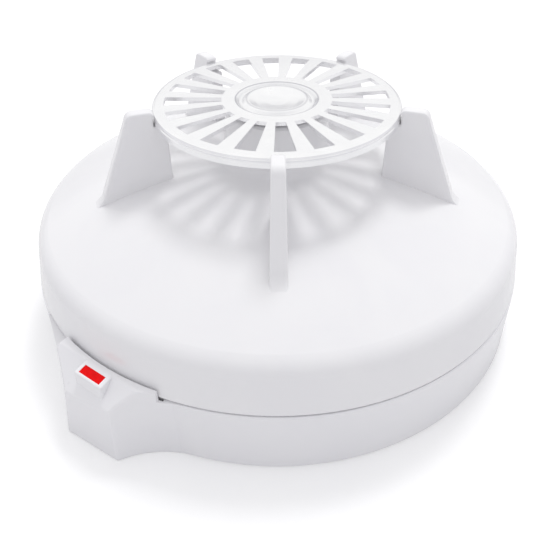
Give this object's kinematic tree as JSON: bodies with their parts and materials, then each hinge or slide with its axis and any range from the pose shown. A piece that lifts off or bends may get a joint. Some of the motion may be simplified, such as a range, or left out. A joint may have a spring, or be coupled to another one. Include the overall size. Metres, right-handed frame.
{
  "type": "heat detector",
  "caption": "Round ceiling heat detector: twist-lock head with a slotted metal collector held on upright fins, on a base with an indicator nose.",
  "frame": {"origin": "on the detector's axis, on the flat back of the mounting base", "axes": "+Z along the detector's axis out of the mounting surface into the room; -Y through the front fin; the indicator nose is at 235 degrees from +X"},
  "size_m": [0.1, 0.1, 0.0429],
  "materials": {
    "white_plastic": "glossy white moulded ABS",
    "natural_plastic": "satin off-white moulded nylon",
    "red_lens": "clear red moulded acrylic",
    "red_led": "red epoxy",
    "board": "green solder mask on glass epoxy",
    "chip_part": "black glazed chip",
    "wire_sleeve": "PVC sleeve",
    "bronze": "tinned phosphor bronze",
    "brass": "bright brass",
    "nickel": "nickel-plated steel",
    "plated_steel": "bright pressed metal",
    "zinc_steel": "zinc-plated steel",
    "tinned_wire": "tinned copper",
    "black_epoxy": "black moulded epoxy",
    "capacitor_sleeve": "dark shrink sleeve",
    "ceramic_dip": "dipped ceramic",
    "resistor_coat": "lacquered film resistor"
  },
  "bodies": {
    "base": {"base_shell": "white_plastic", "led_window": "red_lens", "indicator_led": "red_led", "led_board": "board", "led_resistor": "chip_part", "led_wires": "wire_sleeve", "contact_clips": "bronze", "clip_rivets": "nickel"},
    "head": {"head_cover": "white_plastic", "collector_plate": "plated_steel", "sensor_sleeve": "natural_plastic", "thermistor_bead": "black_epoxy", "thermistor_leads": "tinned_wire", "head_chassis": "natural_plastic", "chassis_screws": "zinc_steel", "contact_blades": "brass", "circuit_board": "board", "board_screws": "zinc_steel", "electrolytic_capacitor": "capacitor_sleeve", "ceramic_capacitors": "ceramic_dip", "resistors": "resistor_coat", "control_ic": "black_epoxy", "bridge_rectifier": "black_epoxy", "transistors": "black_epoxy", "reference_thermistor": "black_epoxy"},
    "clamp_1": {"wire_clamp_1": "nickel"},
    "screw_1": {"terminal_screw_1": "zinc_steel"},
    "clamp_2": {"wire_clamp_2": "nickel"},
    "screw_2": {"terminal_screw_2": "zinc_steel"},
    "clamp_3": {"wire_clamp_3": "nickel"},
    "screw_3": {"terminal_screw_3": "zinc_steel"},
    "clamp_4": {"wire_clamp_4": "nickel"},
    "screw_4": {"terminal_screw_4": "zinc_steel"}
  },
  "joints": [
    {"name": "head_twist", "type": "hinge", "parent": "base", "child": "head", "pos_m": [0, 0, 0], "axis": [0, 0, 1], "range_deg": [0, 20]},
    {"name": "clamp_1_lift", "type": "slide", "parent": "base", "child": "clamp_1", "axis": [0, 0, 1], "range_m": [0, 0.0014]},
    {"name": "screw_1_turn", "type": "hinge", "parent": "clamp_1", "child": "screw_1", "pos_m": [0.01697, 0.01697, 0.006], "axis": [0, 0, 1], "range_deg": [0, 720]},
    {"name": "clamp_2_lift", "type": "slide", "parent": "base", "child": "clamp_2", "axis": [0, 0, 1], "range_m": [0, 0.0014]},
    {"name": "screw_2_turn", "type": "hinge", "parent": "clamp_2", "child": "screw_2", "pos_m": [-0.01697, 0.01697, 0.006], "axis": [0, 0, 1], "range_deg": [0, 720]},
    {"name": "clamp_3_lift", "type": "slide", "parent": "base", "child": "clamp_3", "axis": [0, 0, 1], "range_m": [0, 0.0014]},
    {"name": "screw_3_turn", "type": "hinge", "parent": "clamp_3", "child": "screw_3", "pos_m": [-0.01697, -0.01697, 0.006], "axis": [0, 0, 1], "range_deg": [0, 720]},
    {"name": "clamp_4_lift", "type": "slide", "parent": "base", "child": "clamp_4", "axis": [0, 0, 1], "range_m": [0, 0.0014]},
    {"name": "screw_4_turn", "type": "hinge", "parent": "clamp_4", "child": "screw_4", "pos_m": [0.01697, -0.01697, 0.006], "axis": [0, 0, 1], "range_deg": [0, 720]}
  ],
  "couplings": [
    {"joint": "screw_1_turn", "follows": "clamp_1_lift", "rad_per_m": 8975.9},
    {"joint": "screw_2_turn", "follows": "clamp_2_lift", "rad_per_m": 8975.9},
    {"joint": "screw_3_turn", "follows": "clamp_3_lift", "rad_per_m": 8975.9},
    {"joint": "screw_4_turn", "follows": "clamp_4_lift", "rad_per_m": 8975.9}
  ]
}
